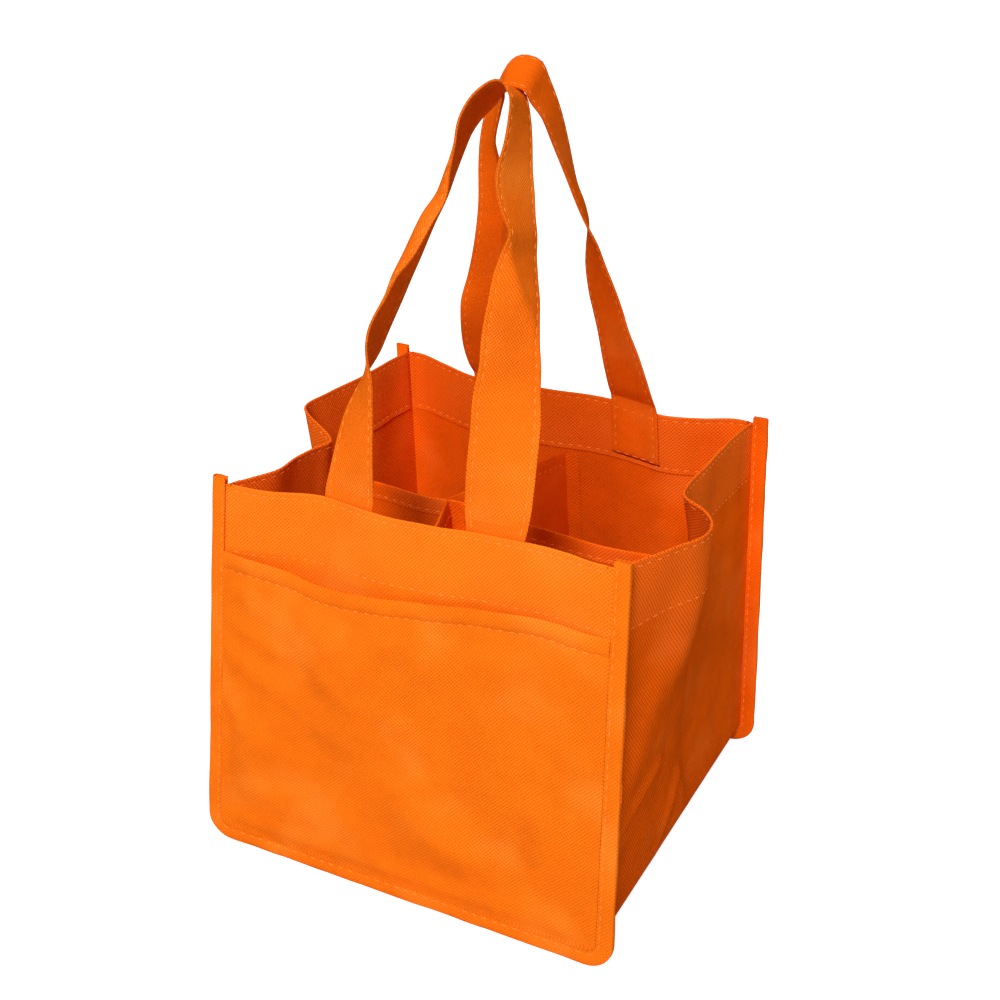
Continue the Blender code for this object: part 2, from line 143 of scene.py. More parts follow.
# Inner walls
WALL_HEIGHT = 0.172
WALL_HEM = 0.009
WALL_LAYER = 0.0008
WALL_STITCH = WALL_HEIGHT - WALL_HEM + 0.002
WALL_CLEARANCE = 0.0003
TAB_WIDTH = 0.008
CREASE_GAP = 0.001
DIVIDER_SWAY = (0.0012, 0.04)
WEB_SWAY = (0.0015, 0.035)
HEM_TAB_WIDTH = 0.0007

# Handles
STRAP_WIDTH = 0.031
STRAP = 0.0012
STRAP_SWELL = 0.00012
STRAP_PINCH = 0.00022
STRAP_PINCH_SHARE = 0.05
STRAP_STITCH = 0.82
STRAP_EDGE = 0.045
STRAP_DEPTH = 0.0019
STRAP_STEP = 0.0030
END_DROP = 0.00045
END_REACH = 0.005
END_THIN = 0.35
END_PRESS = 0.0025
LOWER_LAYER_U = 0.05
LEG_CENTRES = (-0.039, 0.045)
LEG_HEIGHTS = (BODY_HEIGHT - 0.0318, BODY_HEIGHT - 0.017, BODY_HEIGHT - 0.002)
RIM_CLEARANCE = 0.006
LIFT_OFF = 0.016
CROSS_WIDTH = 0.9 * STRAP_WIDTH
CROSS_HEIGHTS = (TOP_LINE, HEM_LINE + 0.0025)
RIDGE_LIMIT = 0.97
FLAT_CURL = 0.01
BEND_PROBE = 0.04
HALF_SHARES = (1, 0.99, 0.965, 0.92, 0.87, 0.82, 0.77, 0.7, 0.6, 0.5, 0.4, 0.3, 0.2, 0.1)

# Meshes
PROBE = 0.0008
TANGENT_PROBE = 0.001
STITCH_PROBE = 0.0015
NORMAL_PROBE = 0.0002
GRID_STEP = 0.0036
NEAR_STITCH = 0.0009
CUT_EDGE = math.radians(55)

# Tables as in the solids: where the soft bag has moved from the square one
CORNER_SHIFTS = {
    (-1, -1): (0.084, 0, -0.005),
    (1, -1): (-0.007, 0.009, 0),
    (1, 1): (-0.028, -0.050, -0.012),
    (-1, 1): (-0.029, -0.030, 0.017),
}
FRONT_BOW = (
    (0, 0), (0.05, 0.001), (0.12, 0.013), (0.25, 0.033), (0.4, 0.004), (0.55, 0.004),
    (0.65, 0.020), (0.8, 0.027), (0.88, 0.021), (0.95, 0.001), (1, 0),
)
BACK_BOW = (
    (0, 0), (0.05, 0.002), (0.13, 0.040), (0.24, 0.085), (0.35, 0.077), (0.45, 0.068),
    (0.62, 0.040), (0.72, 0.064), (0.79, 0.085), (0.88, 0.050), (0.95, 0.002), (1, 0),
)
RIGHT_BOW = (
    (-1, 0), (-0.93, 0.022), (-0.72, 0.062), (-0.6, 0.084), (-0.466, 0.112), (-0.327, 0.110),
    (-0.118, 0.064), (0, 0.005), (0.12, -0.009), (0.44, -0.014), (0.84, -0.009), (1, 0),
)
LEFT_BOW = (
    (-1, 0), (-0.874, -0.037), (-0.75, -0.068), (-0.58, -0.075), (-0.435, -0.087),
    (-0.31, -0.098), (0, 0.064), (0.234, 0.055), (0.52, 0.032), (0.81, 0.018), (1, 0),
)
BOW_POWER = 1.5
CREASE_LEAN = {-1: 0.022, 1: 0.069}
CREASE_POWER = 9
DIVIDER_WAVE = (
    (0, 0), (0.17, 0.014), (0.31, -0.006), (0.42, 0.017), (0.62, -0.026),
    (0.8, -0.053), (0.93, -0.033), (1, 0),
)
WEB_DIVIDER = -0.155
WEB_PANEL = {-1: -0.020, 1: -0.004}
MOUTH_DROP = (
    (0, 0), (0.12, 0.004), (0.26, 0.024), (0.4, 0.020), (0.6, 0), (0.8, -0.018), (1, -0.012),
)
MOUTH_GAPE = (
    (0, 0), (0.12, 0.45), (0.26, 1.0), (0.45, 0.4), (0.6, 0.4), (0.72, 0.6), (0.88, 0.35), (1, 0),
)

# Unevenness of the panels and of the sides: rise, size, upward stretch and seed. It fades
# towards seams over these lengths
OPEN_FADE = 0.03
SEAM_FADE = 0.02
FOLD_FADE = 0.006
PANEL_WAVES = ((0.0020, 0.055, 1, 3), (0.0014, 0.026, 0.3, 7))
SIDE_WAVES = ((0.0018, 0.05, 1, 13), (0.0006, 0.02, 0.6, 17))

# Folds of the pocket, in x and z, and of the right side, in y and z: start, end, width and rise
POCKET_FOLDS = (
    ((-0.108, 0.150), (-0.086, 0.160), 0.0045, 0.0011),
    ((-0.107, 0.140), (-0.072, 0.126), 0.0050, 0.0013),
    ((-0.107, 0.119), (-0.066, 0.101), 0.0055, 0.0013),
    ((-0.106, 0.090), (-0.080, 0.070), 0.0060, 0.0012),
    ((-0.044, 0.119), (-0.008, 0.107), 0.0070, 0.0010),
    ((-0.012, 0.060), (0.045, 0.042), 0.0070, 0.0010),
)
SIDE_FOLDS = (
    ((-0.011, 0.052), (-0.040, 0.004), 0.0042, 0.0026),
    ((-0.011, 0.052), (0.020, 0.004), 0.0042, 0.0026),
    ((-0.052, 0.081), (-0.094, 0.066), 0.0045, 0.0022),
    ((-0.037, 0.205), (-0.044, 0.176), 0.017, 0.0022),
    ((-0.044, 0.176), (-0.055, 0.148), 0.017, 0.0032),
    ((-0.055, 0.148), (-0.092, 0.094), 0.017, 0.0032),
)

# Section of the tape: the place outward from the seam, and the layer from front to back
TAPE_FLANK = (
    TAPE_LAP, TAPE_STITCH - NEAR_STITCH, TAPE_STITCH, TAPE_STITCH + NEAR_STITCH,
    0.0045, 0.0062, TAPE_EDGE - 0.0006,
)
TAPE_TURN = (
    (TAPE_EDGE - 0.0002, -0.75), (TAPE_EDGE, -0.2), (TAPE_EDGE, 0.5), (TAPE_EDGE, 1.2),
    (TAPE_EDGE - 0.0002, 1.75),
)

# Rows of the pocket's band below its mouth, and over its fold with their depths
BAND_ROWS = (
    BAND + 0.004, BAND + 0.0015, BAND + 0.0006, BAND, BAND - 0.0006, BAND - 0.0015,
    0.0055, 0.0035, 0.0015, 0.0004,
)
MOUTH_FOLD = ((-0.0002, 0.0001), (-0.0003, LAYER / 2), (-0.0002, LAYER - 0.0001))

# Stations of the handles in millimetres and degrees: x, y, z, the turn and rise of the strap's
# width, how far it curls lengthwise, and the share across and the angle of a lengthwise fold.
# Zeros at the end of a row are left out.
FRONT_STATIONS = (
    (-26, -101, 230, 20, 12), (-28, -92, 248, 32, 13), (-28, -85, 263, 47, 20, -10),
    (-28, -78, 276, 70, 19, -20), (-27, -73, 286, 76, 19, -35), (-23, -66, 299, 74, 17, -48),
    (-21, -61, 307, 73, 16, -70), (-16, -57, 317, 67, 14, -95), (-11, -50, 332, 63, 12, -100),
    (-8, -44, 342, 62, 10, -76), (-8, -38, 353, 67, 11, -46), (-8, -32, 363, 70, 15, -22),
    (-9, -24, 372, 74, 19, -10), (-7, -16, 380, 74, 24), (-3, -10, 385, 67, 28),
    (3, -9, 389, 68, 14), (7, -10, 388, 71, 6), (12, -13, 385, 77, 4), (15, -17, 376, 83, 7),
    (17, -22, 367, 88, 5), (19, -29, 355, 96, 8), (22, -34, 346, 99, 12),
    (27, -40, 337, 93, 11, 0, 0.97), (31, -44, 330, 89, 13, 0, 0.97, -18),
    (31, -48, 322, 97, 13, 0, 0.7, -34), (33, -55, 313, 109, 13, 0, 0.35, -40),
    (35, -60, 304, 117, 12, 0, -0.05, -36), (37, -66, 296, 120, 12, 0, -0.6, -26),
    (39, -71, 288, 123, 11, 0, -0.97, -12), (42, -77, 279, 128, 9, 0, -0.97),
    (44, -84, 269, 138, 4), (47, -91, 256, 150, -3), (49, -98, 242, 160, -3),
)
BACK_STATIONS = (
    (-45, 74, 235, -18, 0, 0, 0.1), (-42, 64, 258, -14, 0, 0, 0.1, 14),
    (-39, 56, 280, 18, 7, 0, 0.1, 42), (-32, 48, 302, 22, 7, 0, 0.1, 54),
    (-28, 41, 324, 31, 8, 0, 0.1, 52), (-27, 35, 343, 41, 6, 0, 0.1, 40),
    (-25, 29, 357, 49, 5, 0, 0.1, 24), (-19, 23, 372, 50, 6, 0, 0.1, 10), (-11, 16, 384, 59, -7),
    (-5, 10, 392, 70, -16), (2, 8, 394, 73, -22), (9, 9, 392, 79, -21), (11, 12, 386, 81, -16),
    (15, 17, 375, 81, -2), (17, 24, 361, 80, 6), (20, 33, 341, 75, 12), (23, 38, 329, 74, 11),
    (25, 42, 319, 70, 12), (26, 47, 307, 57, 13), (26, 53, 295, 48, 13), (28, 59, 280, 40, 14),
    (30, 63, 269, 37, 14), (32, 67, 257, 35, 15), (35, 73, 240, 27, 15),
)

# Colours
ORANGE = (0.97, 0.185, 0.007, 1)
DEEP = (0.66, 0.060, 0.001, 1)
# Painted shade: a redder, darker copy of the orange and its dimples for the back panel, inner walls,
# back tape and back strap, standing in for the shade and red bounce light inside the bag
INNER_SHADE_ORANGE = (0.97, 0.128, 0.003, 1)
INNER_SHADE_DEEP = (0.60, 0.035, 0.001, 1)
# Painted shade: a redder, darker copy of the orange and its dimples for the gusset, standing in for
# the shade on the bag's sides
SIDE_SHADE_ORANGE = (0.94, 0.125, 0.003, 1)
SIDE_SHADE_DEEP = (0.42, 0.026, 0.001, 1)
STRAP_ORANGE = (1.0, 0.178, 0.008, 1)
# Painted shade: a redder copy of the strap orange for the back strap, which hangs in the bag's shade
BACK_STRAP_SHADE_ORANGE = (1.0, 0.142, 0.004, 1)
THREAD_DARK = (0.98, 0.21, 0.02, 1)
THREAD_PALE = (1.0, 0.33, 0.06, 1)
BOARD_DARK = (0.72, 0.70, 0.66, 1)
BOARD_PALE = (0.80, 0.78, 0.74, 1)
FLOOR_GREY = (0.6, 0.6, 0.6, 1)
WHITE = (1, 1, 1, 1)

# Stage and camera
FLOOR_GLOW = 0.87
FLOOR_REACH = 60
FLOOR_Z = -0.0002
ROOM_LIGHT = 0.25
LIGHT_DISTANCE = 3.5
LIGHT_TARGET = Vector((0, 0, 0.16))
AZIMUTH, ELEVATION, ROLL = 26.479, 23.226, 0.895
TARGET = Vector((-0.00040, 0, 0.17809)) + SHIFT
DISTANCE = 0.72893

random.seed(4)
thread_parts = {}


def smooth(table, at):
    """A smooth curve through the (place, value) rows of a table."""
    at = min(max(at, table[0][0]), table[-1][0])
    last = len(table) - 1
    index = 0
    while index < last - 1 and at > table[index + 1][0]:
        index += 1
    before, after = table[max(index - 1, 0)], table[min(index + 2, last)]
    (start, low), (end, high) = table[index], table[index + 1]
    slope_in = (high - before[1]) / (end - before[0]) * (end - start)
    slope_out = (after[1] - low) / (after[0] - start) * (end - start)
    f = (at - start) / (end - start)
    return low + (high - low) * ease(f) + f * (1 - f) * ((1 - f) * slope_in - f * slope_out)


def ease(f):
    """From 0 to 1 with a soft start and end."""
    f = min(max(f, 0), 1)
    return f * f * (3 - 2 * f)


def bump(distance, width):
    """1 in the middle of a ridge, and less with the distance from it."""
    return math.exp(-(distance / width) ** 2)


def wave(a, b, scale, seed):
    """Soft noise from -1 to 1 over a flat surface."""
    return noise.noise(Vector((a / scale, b / scale, seed)))


def sway(size, a, b, seed):
    """Soft noise of a size that is given as its rise and its reach."""
    rise, reach = size
    return rise * wave(a, b, reach, seed)


def level(z):
    """The height as a share of the body, 0 at its bottom seam."""
    return max((z - SEAM_FLANGE) / (BODY_HEIGHT - SEAM_FLANGE), 0)


def settle(x, y, z):
    """Where a point of the square bag lies once its corners have moved."""
    t = level(z)
    point = Vector((x, y, z))
    for (sign_x, sign_y), (share_x, share_y, share_z) in CORNER_SHIFTS.items():
        weight = (0.5 + sign_x * x / BODY_WIDTH) * (0.5 + sign_y * y / BODY_DEPTH) * t
        point.x += weight * share_x * BODY_WIDTH
        point.y += weight * share_y * BODY_DEPTH
        point.z += weight * share_z * BODY_HEIGHT
    return point


def uneven(waves, a, z, half, side, rise=0.0):
    """Soft unevenness of a wall on top of its folds, 0 at its seams."""
    for high, size, stretch, seed in waves:
        rise += sway((high, size), a, z * stretch, seed + side)
    return rise * ease((half - abs(a)) / OPEN_FADE) * ease((z - SEAM_FLANGE) / OPEN_FADE)


def fold_ridge(folds, a, z):
    """How far the soft folds of a wall stand out."""
    point = Vector((a, z))
    highest = 0.0
    for start, end, width, rise in folds:
        start, end = Vector(start), Vector(end)
        along = (point - start).dot(end - start) / (end - start).length_squared
        nearest = start.lerp(end, min(max(along, 0), 1))
        highest = max(highest, rise * bump((point - nearest).length, width))
    return highest


def panel(side, x, z):
    """The front or back panel, at x and z of the square bag."""
    table = FRONT_BOW if side < 0 else BACK_BOW
    bow = smooth(table, x / BODY_WIDTH + 0.5) * BODY_DEPTH * level(z) ** BOW_POWER
    bow += uneven(PANEL_WAVES, x, z, BODY_WIDTH / 2, side)
    return settle(x, side * (BODY_DEPTH / 2 - bow), z)


def crease_y(side, z):
    """Where the crease of a side leans to, towards the front."""
    return -CREASE_LEAN[side] * BODY_DEPTH * min(level(z), 1) ** CREASE_POWER


def strip(side, x, y, z):
    """The gusset strip, from a point of the square bag on its left or right half."""
    crease = crease_y(side, z)
    reach = BODY_DEPTH / 2 + (crease if y < crease else -crease)
    table = LEFT_BOW if side < 0 else RIGHT_BOW
    bow = smooth(table, (y - crease) / reach) * BODY_WIDTH * level(z) ** BOW_POWER
    folds = fold_ridge(SIDE_FOLDS, y, z) if side > 0 else 0.0
    bow += uneven(SIDE_WAVES, y, z, BODY_DEPTH / 2, side, folds)
    return settle(x + side * bow, y, z)


def side_wall(side, y, z):
    """The strip at y and z, round its lower corner."""
    drop = max(CORNER_TOP - z, 0)
    inset = CORNER_RADIUS - math.sqrt(max(CORNER_RADIUS ** 2 - drop ** 2, 0))
    return strip(side, side * (BODY_WIDTH / 2 - inset), y, z)


def square_to(surface, side, a, b, probe):
    """The unit vector square to surface(side, a, b)."""
    along = surface(side, a + probe, b) - surface(side, a - probe, b)
    up = surface(side, a, b + PROBE) - surface(side, a, b - PROBE)
    return along.cross(up).normalized()


def inside(surface, side, a, b, depth):
    """A point a depth inside a wall, square to it."""
    normal = square_to(surface, side, a, b, PROBE)
    point = surface(side, a, b)
    if normal.x * point.x + normal.y * point.y > 0:
        normal.negate()
    return point + normal * depth


def spread(start, end, step=GRID_STEP, marks=()):
    """Places from start to end, with three close together at each mark."""
    near = NEAR_STITCH
    clear = 1.7 * near
    count = max(math.ceil(abs(end - start) / step), 1)
    places = [start + (end - start) * i / count for i in range(count + 1)]
    low, high = min(start, end), max(start, end)
    for mark in marks:
        places = [p for p in places if abs(p - mark) > clear or p in (start, end)]
        places += [m for m in (mark - near, mark, mark + near) if low < m < high]
    return sorted(set(places), reverse=end < start)


def rounded_corner(radius, steps):
    """Rise and inset of a rounded lower corner, from the bottom up."""
    angles = [math.pi / 2 * step / steps for step in range(steps)]
    return [(radius * (1 - math.cos(angle)), radius * (1 - math.sin(angle))) for angle in angles]


def fold_over(top, radius, steps):
    """Height and depth round the top of a folded hem, from its outer to its inner layer."""
    angles = [math.pi * step / steps for step in range(1, steps)]
    return [(top + radius * math.sin(angle), radius * (1 - math.cos(angle))) for angle in angles]


def body_hem():
    """Height and depth of the hem at the rim, over its fold and down inside."""
    lower = spread(BODY_HEIGHT, BODY_HEIGHT - HEM_DEPTH, marks=(HEM_LINE, TOP_LINE))
    return fold_over(BODY_HEIGHT, LAYER / 2, steps=6) + [(z, LAYER) for z in lower]


def wall_hem():
    """Height and depth of an inner wall, from the floor over its fold and down again."""
    marks = (WALL_STITCH,)
    outer = spread(FLOOR_TOP + WALL_CLEARANCE, WALL_HEIGHT, step=0.0055, marks=marks)
    inner = spread(WALL_HEIGHT, WALL_HEIGHT - WALL_HEM, step=0.003, marks=marks)
    fold = fold_over(WALL_HEIGHT, WALL_LAYER / 2, steps=5)
    return [(z, 0.0) for z in outer] + fold + [(z, WALL_LAYER) for z in inner]


def write_mesh(name, vertices, faces, uvs, material):
    """A mesh object with smooth faces, moved into the frame."""
    mesh = bpy.data.meshes.new(name)
    mesh.from_pydata([v + SHIFT for v in vertices], [], faces)
    mesh.shade_smooth()
    if uvs:
        layer = mesh.uv_layers.new(name="flat")
        for loop in mesh.loops:
            layer.data[loop.index].uv = uvs[loop.vertex_index]
    mesh.materials.append(material)
    piece = bpy.data.objects.new(name, mesh)
    bpy.context.scene.collection.objects.link(piece)
    return piece


def lengths_along(points, gap):
    """How far each of the points lies from the first, by a gap between two neighbours."""
    return [0.0, *itertools.accumulate(gap(a, b) for a, b in zip(points, points[1:]))]


def flat_lengths(points):
    """How far along the flat cloth each row, or column, of a grid of points lies."""
    def gap(before, after):
        return sum((b - a).length for a, b in zip(before, after)) / len(before)

    return lengths_along(points, gap)


def grid_piece(name, points, material, thickness=CLOTH, flip=False, lengths=None):
    """A sheet through rows of points, thickened both ways."""
    rows, columns = len(points), len(points[0])
    u, v = lengths or (flat_lengths(list(zip(*points))), flat_lengths(points))
    faces = []
    for i in range(rows - 1):
        for j in range(columns - 1):
            a = i * columns + j
            face = (a, a + 1, a + columns + 1, a + columns)
            faces.append(face[::-1] if flip else face)
    uvs = [(u[j], v[i]) for i in range(rows) for j in range(columns)]
    piece = write_mesh(name, [p for row in points for p in row], faces, uvs, material)
    solid = piece.modifiers.new("Thickness", "SOLIDIFY")
    solid.thickness = thickness
    solid.offset = 0
    solid.use_even_offset = True
    solid.use_quality_normals = True
    graph = bpy.context.evaluated_depsgraph_get()
    made = bpy.data.meshes.new_from_object(piece.evaluated_get(graph))
    piece.modifiers.clear()
    made.set_sharp_from_angle(angle=CUT_EDGE)
    piece.data = made
    made.name = name
    return piece


def tube_faces(first, rings, sides):
    """Faces of a tube of rings from a first vertex on, with both ends shut."""
    last = first + (rings - 1) * sides
    faces = []
    for start in range(first, last, sides):
        for k in range(sides):
            a, b = start + k, start + (k + 1) % sides
            faces.append((a, b, b + sides, a + sides))
    faces.append(tuple(reversed(range(first, first + sides))))
    faces.append(tuple(range(last, last + sides)))
    return faces


def sewn_piece(piece, cad_name):
    """Hang a piece sewn to the bag on the bag's body, and hide the solid it stands for."""
    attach(piece, "bag")
    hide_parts(cad_name)


# Stitches

def pinch(distance):
    """How far a line of stitches pulls the cloth in."""
    return PINCH * bump(distance, PINCH_WIDTH)


def gather(along, distance, seed):
    """Small puckers beside a line of stitches."""
    return sway(GATHER, along, 0, seed) * bump(distance, GATHER[1])


def thread_share(f):
    """A thread's thickness along a stitch, thin where it dips into the cloth."""
    if f in (0, 1):
        return THREAD_TIP
    return 1 - THREAD_TIP * (1 - math.sqrt(math.sin(math.pi * f)))


def sew(body, line, length, start=0.0, end=1.0):
    """Stitches along line(share, lift), which gives a point a lift above the cloth."""
    rings, sides = 7, 6
    count = max(round(length * (end - start) / STITCH), 1)
    vertices, faces = thread_parts.setdefault(body, ([], []))
    for number in range(count):
        jog = random.uniform(-STITCH_JOG, STITCH_JOG)
        slant = random.uniform(-STITCH_SLANT, STITCH_SLANT)
        faces.extend(tube_faces(len(vertices), rings, sides))
        for ring in range(rings):
            f = ring / (rings - 1)
            s = start + (end - start) * (number + STITCH_START + jog + STITCH_SHARE * f) / count
            s = min(max(s, 0.0), 1.0)
            lift = STITCH_RISE * math.sin(math.pi * f) - STITCH_SINK
            point = line(s, lift)
            ahead = line(min(s + STITCH_PROBE, 1), lift) - line(max(s - STITCH_PROBE, 0), lift)
            normal = (line(s, lift + NORMAL_PROBE) - point).normalized()
            across = ahead.cross(normal).normalized()
            point = point + across * slant * (f - 0.5) * 2
            for k in range(sides):
                angle = 2 * math.pi * k / sides
                spoke = across * math.cos(angle) + normal * math.sin(angle) * THREAD_FLATNESS
                vertices.append(point + spoke * THREAD * thread_share(f))


def sew_hem(surface, side, height_of, pull_of, reach):
    """A line of stitches through both layers of the hem at the rim, seen on both faces."""
    for sign in (-1, 1):
        def line(s, lift, sign=sign):
            a = -reach + 2 * reach * s
            z = height_of(a)
            pull = pull_of(side, a, z)
            depth = pull if sign < 0 else LAYER - pull
            return inside(surface, side, a, z, depth + sign * (CLOTH / 2 + lift))
        sew("bag", line, 2 * reach)


# Materials

class Nodes:
    """The nodes of a material or the world, with short ways to add and link them."""

    def __init__(self, owner):
        owner.use_nodes = True
        self.owner = owner
        self.tree = owner.node_tree
        ends = ("BSDF_PRINCIPLED", "BACKGROUND")
        self.shader = next(node for node in self.tree.nodes if node.type in ends)

    def add(self, kind, inputs=None, **settings):
        """A new node with its settings, and its inputs by name or number."""
        node = self.tree.nodes.new(kind)
        for key, value in settings.items():
            setattr(node, key, value)
        for key, source in (inputs or {}).items():
            self.link(source, node.inputs[key])
        return node

    def link(self, source, target):
        if isinstance(source, (int, float, tuple)):
            target.default_value = source
        else:
            self.tree.links.new(source, target)

    def feed(self, socket, source):
        """Set or link one of the shader's own sockets."""
        self.link(source, self.shader.inputs[socket])

    def math(self, operation, a, b=0.0, clamp=False):
        node = self.add("ShaderNodeMath", {0: a, 1: b}, operation=operation, use_clamp=clamp)
        return node.outputs[0]

    def times(self, a, b):
        return self.math("MULTIPLY", a, b)

    def coordinates(self):
        return self.add("ShaderNodeTexCoord").outputs["Object"]

    def turned(self, vector, angle, scale=(1.0, 1.0, 1.0)):
        inputs = {"Vector": vector, "Rotation": (0, 0, angle), "Scale": scale}
        return self.add("ShaderNodeMapping", inputs).outputs["Vector"]

    def parts(self, vector):
        return self.add("ShaderNodeSeparateXYZ", {0: vector}).outputs

    def noise(self, vector, scale, detail=3.0, roughness=0.5):
        inputs = {"Vector": vector, "Scale": scale, "Detail": detail, "Roughness": roughness}
        return self.add("ShaderNodeTexNoise", inputs).outputs["Fac"]

    def mix(self, factor, a, b):
        node = self.add("ShaderNodeMix", {"Factor": factor, "A": a, "B": b}, data_type="RGBA")
        return node.outputs["Result"]

    def steps(self, value, low, high):
        inputs = {"Value": value, "From Min": low, "From Max": high}
        node = self.add("ShaderNodeMapRange", inputs, interpolation_type="SMOOTHSTEP")
        return node.outputs["Result"]

    def relief(self, height, strength, distance):
        inputs = {"Strength": strength, "Distance": distance, "Height": height}
        self.feed("Normal", self.add("ShaderNodeBump", inputs).outputs["Normal"])

    def seen(self):
        """1 for the rays that see a background: camera, glossy and transmission rays."""
        path = self.add("ShaderNodeLightPath")
        mirrored = self.math("ADD", path.outputs["Is Camera Ray"], path.outputs["Is Glossy Ray"])
        return self.math("ADD", mirrored, path.outputs["Is Transmission Ray"], clamp=True)


def tinted(color, factor, lift=0.0):
    """A colour made lighter or darker."""
    return tuple(min(channel * factor + lift, 1) for channel in color[:3]) + (1,)


def cloth_material(
    name, color, deep, pitch=0.00106, turn=0.0, contrast=0.6, relief=0.00022, hem_light=0.0,
):
    """Spun-bonded cloth: a staggered field of pressed dimples, fine fibres, soft unevenness and
    patches of painted sheen.
    """
    n = Nodes(bpy.data.materials.new(name))
    uv = n.add("ShaderNodeUVMap", uv_map="flat").outputs["UV"]
    place = n.parts(n.turned(uv, turn))
    rate = math.pi / pitch
    across = n.math("SINE", n.times(place["X"], rate))
    up = n.math("SINE", n.times(place["Y"], rate))
    dimple = n.steps(n.times(across, up), 0.0, 0.62)
    coarse = n.noise(uv, 34.0, detail=4.0, roughness=0.6)
    cloudy = n.noise(uv, 160.0, roughness=0.55)
    sheen_patches = n.noise(uv, 19.0, detail=2.0)
    fine = n.noise(uv, 2400.0, detail=2.0, roughness=0.7)
    fibre = n.noise(n.turned(uv, 0.5, (1.0, 0.16, 1.0)), 1700.0, detail=2.0, roughness=0.6)

    dull = tinted(color, 0.86)
    bright = tinted(color, 1.22, 0.008)
    # Painted sheen: the paler tint below, laid in random patches, stands in for the soft sheen of
    # the cloth under the light
    pale = tinted(color, 1.3, 0.014)
    tone = n.mix(n.steps(coarse, 0.32, 0.68), color, dull)
    tone = n.mix(n.times(n.steps(cloudy, 0.45, 0.8), 0.35), tone, dull)
    # Painted sheen patches over the tone
    tone = n.mix(n.times(n.steps(sheen_patches, 0.48, 0.7), 0.6), tone, pale)
    height = n.parts(n.coordinates())["Z"]
    doubled = n.steps(height, BODY_HEIGHT - HEM_DEPTH, HEM_LINE + 0.001)
    tone = n.mix(n.times(doubled, hem_light), tone, bright)
    pressed = n.mix(n.times(dimple, contrast), tone, deep)
    n.feed("Base Color", n.mix(n.times(n.steps(fibre, 0.5, 0.75), 0.3), pressed, bright))

    rough = n.math("ADD", n.times(fine, 0.12), 0.68)
    n.feed("Roughness", n.math("SUBTRACT", rough, n.times(dimple, 0.14)))
    n.feed("Specular IOR Level", 0.0)
    hairs = n.math("ADD", n.times(fine, 0.2), n.times(fibre, 0.25))
    n.relief(n.math("SUBTRACT", n.math("ADD", hairs, n.times(cloudy, 0.6)), dimple), 1.0, relief)
    return n.owner


def thread_material():
    """Sewing thread, a little paler than the cloth."""
    n = Nodes(bpy.data.materials.new("thread"))
    place = n.coordinates()
    n.feed("Base Color", n.mix(n.steps(n.noise(place, 900.0), 0.35, 0.65), THREAD_DARK, THREAD_PALE))
    n.feed("Roughness", 0.6)
    n.feed("Specular IOR Level", 0.1)
    n.relief(n.noise(place, 5000.0), 0.4, 0.0001)
    return n.owner


def board_material():
    """Grey-white board with a fine speckle."""
    n = Nodes(bpy.data.materials.new("board"))
    speck = n.noise(n.coordinates(), 420.0, detail=5.0, roughness=0.65)
    n.feed("Base Color", n.mix(n.steps(speck, 0.35, 0.7), BOARD_DARK, BOARD_PALE))
    n.feed("Roughness", 0.55)
    n.relief(speck, 0.3, 0.0002)
    return n.owner


body_cloth = cloth_material(
    "body_cloth", ORANGE, DEEP, pitch=0.00098, contrast=0.5, relief=0.00016, hem_light=0.4,
)
# Painted shade: the back panel and inner walls take the redder, darker copy of the orange
inner_shaded_cloth = cloth_material("inner_shaded_cloth", INNER_SHADE_ORANGE, INNER_SHADE_DEEP, contrast=0.5, hem_light=0.4)
# Painted shade: the gusset takes the redder, darker copy of the orange
side_shaded_cloth = cloth_material(
    "side_shaded_cloth", SIDE_SHADE_ORANGE, SIDE_SHADE_DEEP, turn=0.18, contrast=0.65, hem_light=0.7,
)
front_strap_cloth = cloth_material(
    "front_strap_cloth", STRAP_ORANGE, DEEP, pitch=0.00088, turn=0.1, contrast=0.45,
)
# Painted shade: the back strap takes the redder copy of the strap orange
back_strap_shaded_cloth = cloth_material(
    "back_strap_shaded_cloth", BACK_STRAP_SHADE_ORANGE, INNER_SHADE_DEEP, pitch=0.00088, turn=0.1, contrast=0.4,
)
front_tape_cloth = cloth_material("front_tape_cloth", ORANGE, DEEP, contrast=0.4, relief=0.00014)
# Painted shade: the back tape takes the redder, darker copy of the orange
back_tape_shaded_cloth = cloth_material(
    "back_tape_shaded_cloth", INNER_SHADE_ORANGE, INNER_SHADE_DEEP, contrast=0.4, relief=0.00014,
)
thread = thread_material()


# Panels

def panel_hem(side, x):
    """Height of the hem's lower stitches on a panel."""
    tilt = HEM_TILT * (2 * x / BODY_WIDTH) if side < 0 else 0.0
    return HEM_LINE + tilt


def panel_pull(side, x, z):
    """How far the stitches pull the outer cloth of a panel inwards."""
    top, low = z - TOP_LINE, z - panel_hem(side, x)
    return pinch(top) + pinch(low) + gather(x, top, 31 + side) + gather(x, low, 33 + side)


